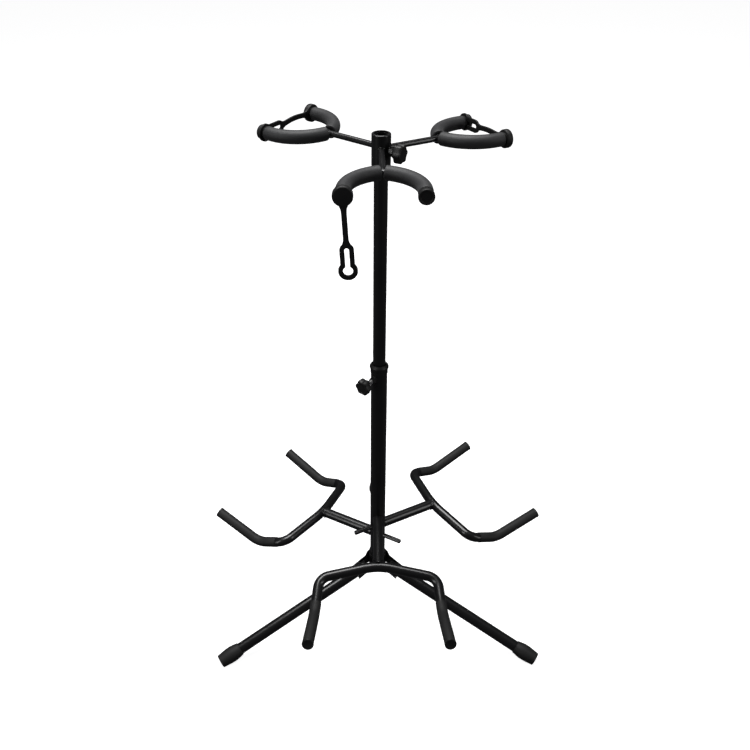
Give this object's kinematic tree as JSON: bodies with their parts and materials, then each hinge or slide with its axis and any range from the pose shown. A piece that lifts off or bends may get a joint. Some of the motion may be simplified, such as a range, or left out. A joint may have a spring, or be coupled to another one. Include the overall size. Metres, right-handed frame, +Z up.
{
  "type": "guitar rack",
  "caption": "Free-standing tripod rack that holds guitars upright: a telescoping mast with padded neck forks on a turning head and plug-in body yokes, on folding legs.",
  "frame": {"origin": "on the floor, under the middle of the mast", "axes": "+Z up the mast, -Y towards the front yoke, +X to the right seen from the front"},
  "size_m": [0.5669, 0.57, 0.856],
  "materials": {
    "black_steel": "satin black powder coat",
    "zinc_steel": "bright zinc plate",
    "black_plastic": "fine moulded texture",
    "black_rubber": "matte moulded rubber",
    "black_foam": "closed-cell foam skin"
  },
  "bodies": {
    "base": {"lower_tube": "black_steel", "height_nut": "black_steel", "tube_collar": "black_plastic", "base_plug": "black_plastic", "leg_bracket_left": "black_steel", "leg_bracket_right": "black_steel", "leg_bracket_rear": "black_steel", "leg_rivets": "black_steel"},
    "left_leg": {"leg_left": "black_steel", "foot_left": "black_rubber"},
    "right_leg": {"leg_right": "black_steel", "foot_right": "black_rubber"},
    "rear_leg": {"leg_rear": "black_steel", "foot_rear": "black_rubber"},
    "front_yoke": {"yoke_bar_front": "black_steel", "yoke_stem_front": "black_steel", "yoke_rod_front": "black_steel", "yoke_sleeves_front": "black_rubber", "yoke_plugs_front": "black_plastic"},
    "left_yoke": {"yoke_bar_left": "black_steel", "yoke_stem_left": "black_steel", "yoke_rod_left": "black_steel", "yoke_sleeves_left": "black_rubber", "yoke_plugs_left": "black_plastic"},
    "right_yoke": {"yoke_bar_right": "black_steel", "yoke_stem_right": "black_steel", "yoke_rod_right": "black_steel", "yoke_sleeves_right": "black_rubber", "yoke_plugs_right": "black_plastic"},
    "upper_mast": {"upper_tube": "black_steel", "slide_bush": "black_plastic"},
    "head": {"hub": "black_steel", "hub_nut": "black_steel", "hanger_arm_front": "black_steel", "neck_fork_front": "black_steel", "neck_foam_front_left": "black_foam", "neck_foam_front_right": "black_foam", "button_cap_front": "black_rubber", "hanger_arm_left": "black_steel", "neck_fork_left": "black_steel", "neck_foam_left_left": "black_foam", "neck_foam_left_right": "black_foam", "button_cap_left": "black_rubber", "hanger_arm_right": "black_steel", "neck_fork_right": "black_steel", "neck_foam_right_left": "black_foam", "neck_foam_right_right": "black_foam", "button_cap_right": "black_rubber", "strap_left": "black_rubber", "strap_right": "black_rubber"},
    "safety_strap": {"strap_front": "black_rubber"},
    "height_clamp": {"height_knob": "black_plastic", "height_screw": "zinc_steel"},
    "head_clamp": {"hub_knob": "black_plastic", "hub_screw": "zinc_steel"}
  },
  "joints": [
    {"name": "left_leg_fold", "type": "hinge", "parent": "base", "child": "left_leg", "pos_m": [-0.02362, -0.01309, 0.0926], "axis": [0.4848, -0.8746, 0], "range_deg": [0, 70]},
    {"name": "right_leg_fold", "type": "hinge", "parent": "base", "child": "right_leg", "pos_m": [0.02368, -0.01297, 0.0926], "axis": [0.4802, 0.8771, 0], "range_deg": [0, 70]},
    {"name": "rear_leg_fold", "type": "hinge", "parent": "base", "child": "rear_leg", "pos_m": [0, 0.027, 0.0926], "axis": [-1, 0, 0], "range_deg": [0, 70]},
    {"name": "front_yoke_pull", "type": "slide", "parent": "base", "child": "front_yoke", "axis": [-0.0052, -0.9984, -0.0558], "range_m": [0, 0.06]},
    {"name": "left_yoke_pull", "type": "slide", "parent": "base", "child": "left_yoke", "axis": [-0.8529, 0.5206, -0.0384], "range_m": [0, 0.06]},
    {"name": "right_yoke_pull", "type": "slide", "parent": "base", "child": "right_yoke", "axis": [0.8664, 0.4982, -0.0332], "range_m": [0, 0.06]},
    {"name": "mast_height", "type": "slide", "parent": "base", "child": "upper_mast", "axis": [0, 0, 1], "range_m": [-0.18, 0.06]},
    {"name": "head_turn", "type": "hinge", "parent": "upper_mast", "child": "head", "pos_m": [0, 0, 0.834], "axis": [0, 0, 1], "continuous": true},
    {"name": "front_strap_swing", "type": "hinge", "parent": "head", "child": "safety_strap", "pos_m": [-0.04609, -0.15933, 0.837], "axis": [0.007, -1, 0], "range_deg": [-90, 60]},
    {"name": "height_knob_turn", "type": "hinge", "parent": "base", "child": "height_clamp", "pos_m": [-0.02314, -0.02758, 0.484], "axis": [-0.6428, -0.766, 0], "continuous": true},
    {"name": "head_knob_turn", "type": "hinge", "parent": "head", "child": "head_clamp", "pos_m": [0.02356, -0.0136, 0.8335], "axis": [0.866, -0.5, 0], "continuous": true}
  ]
}
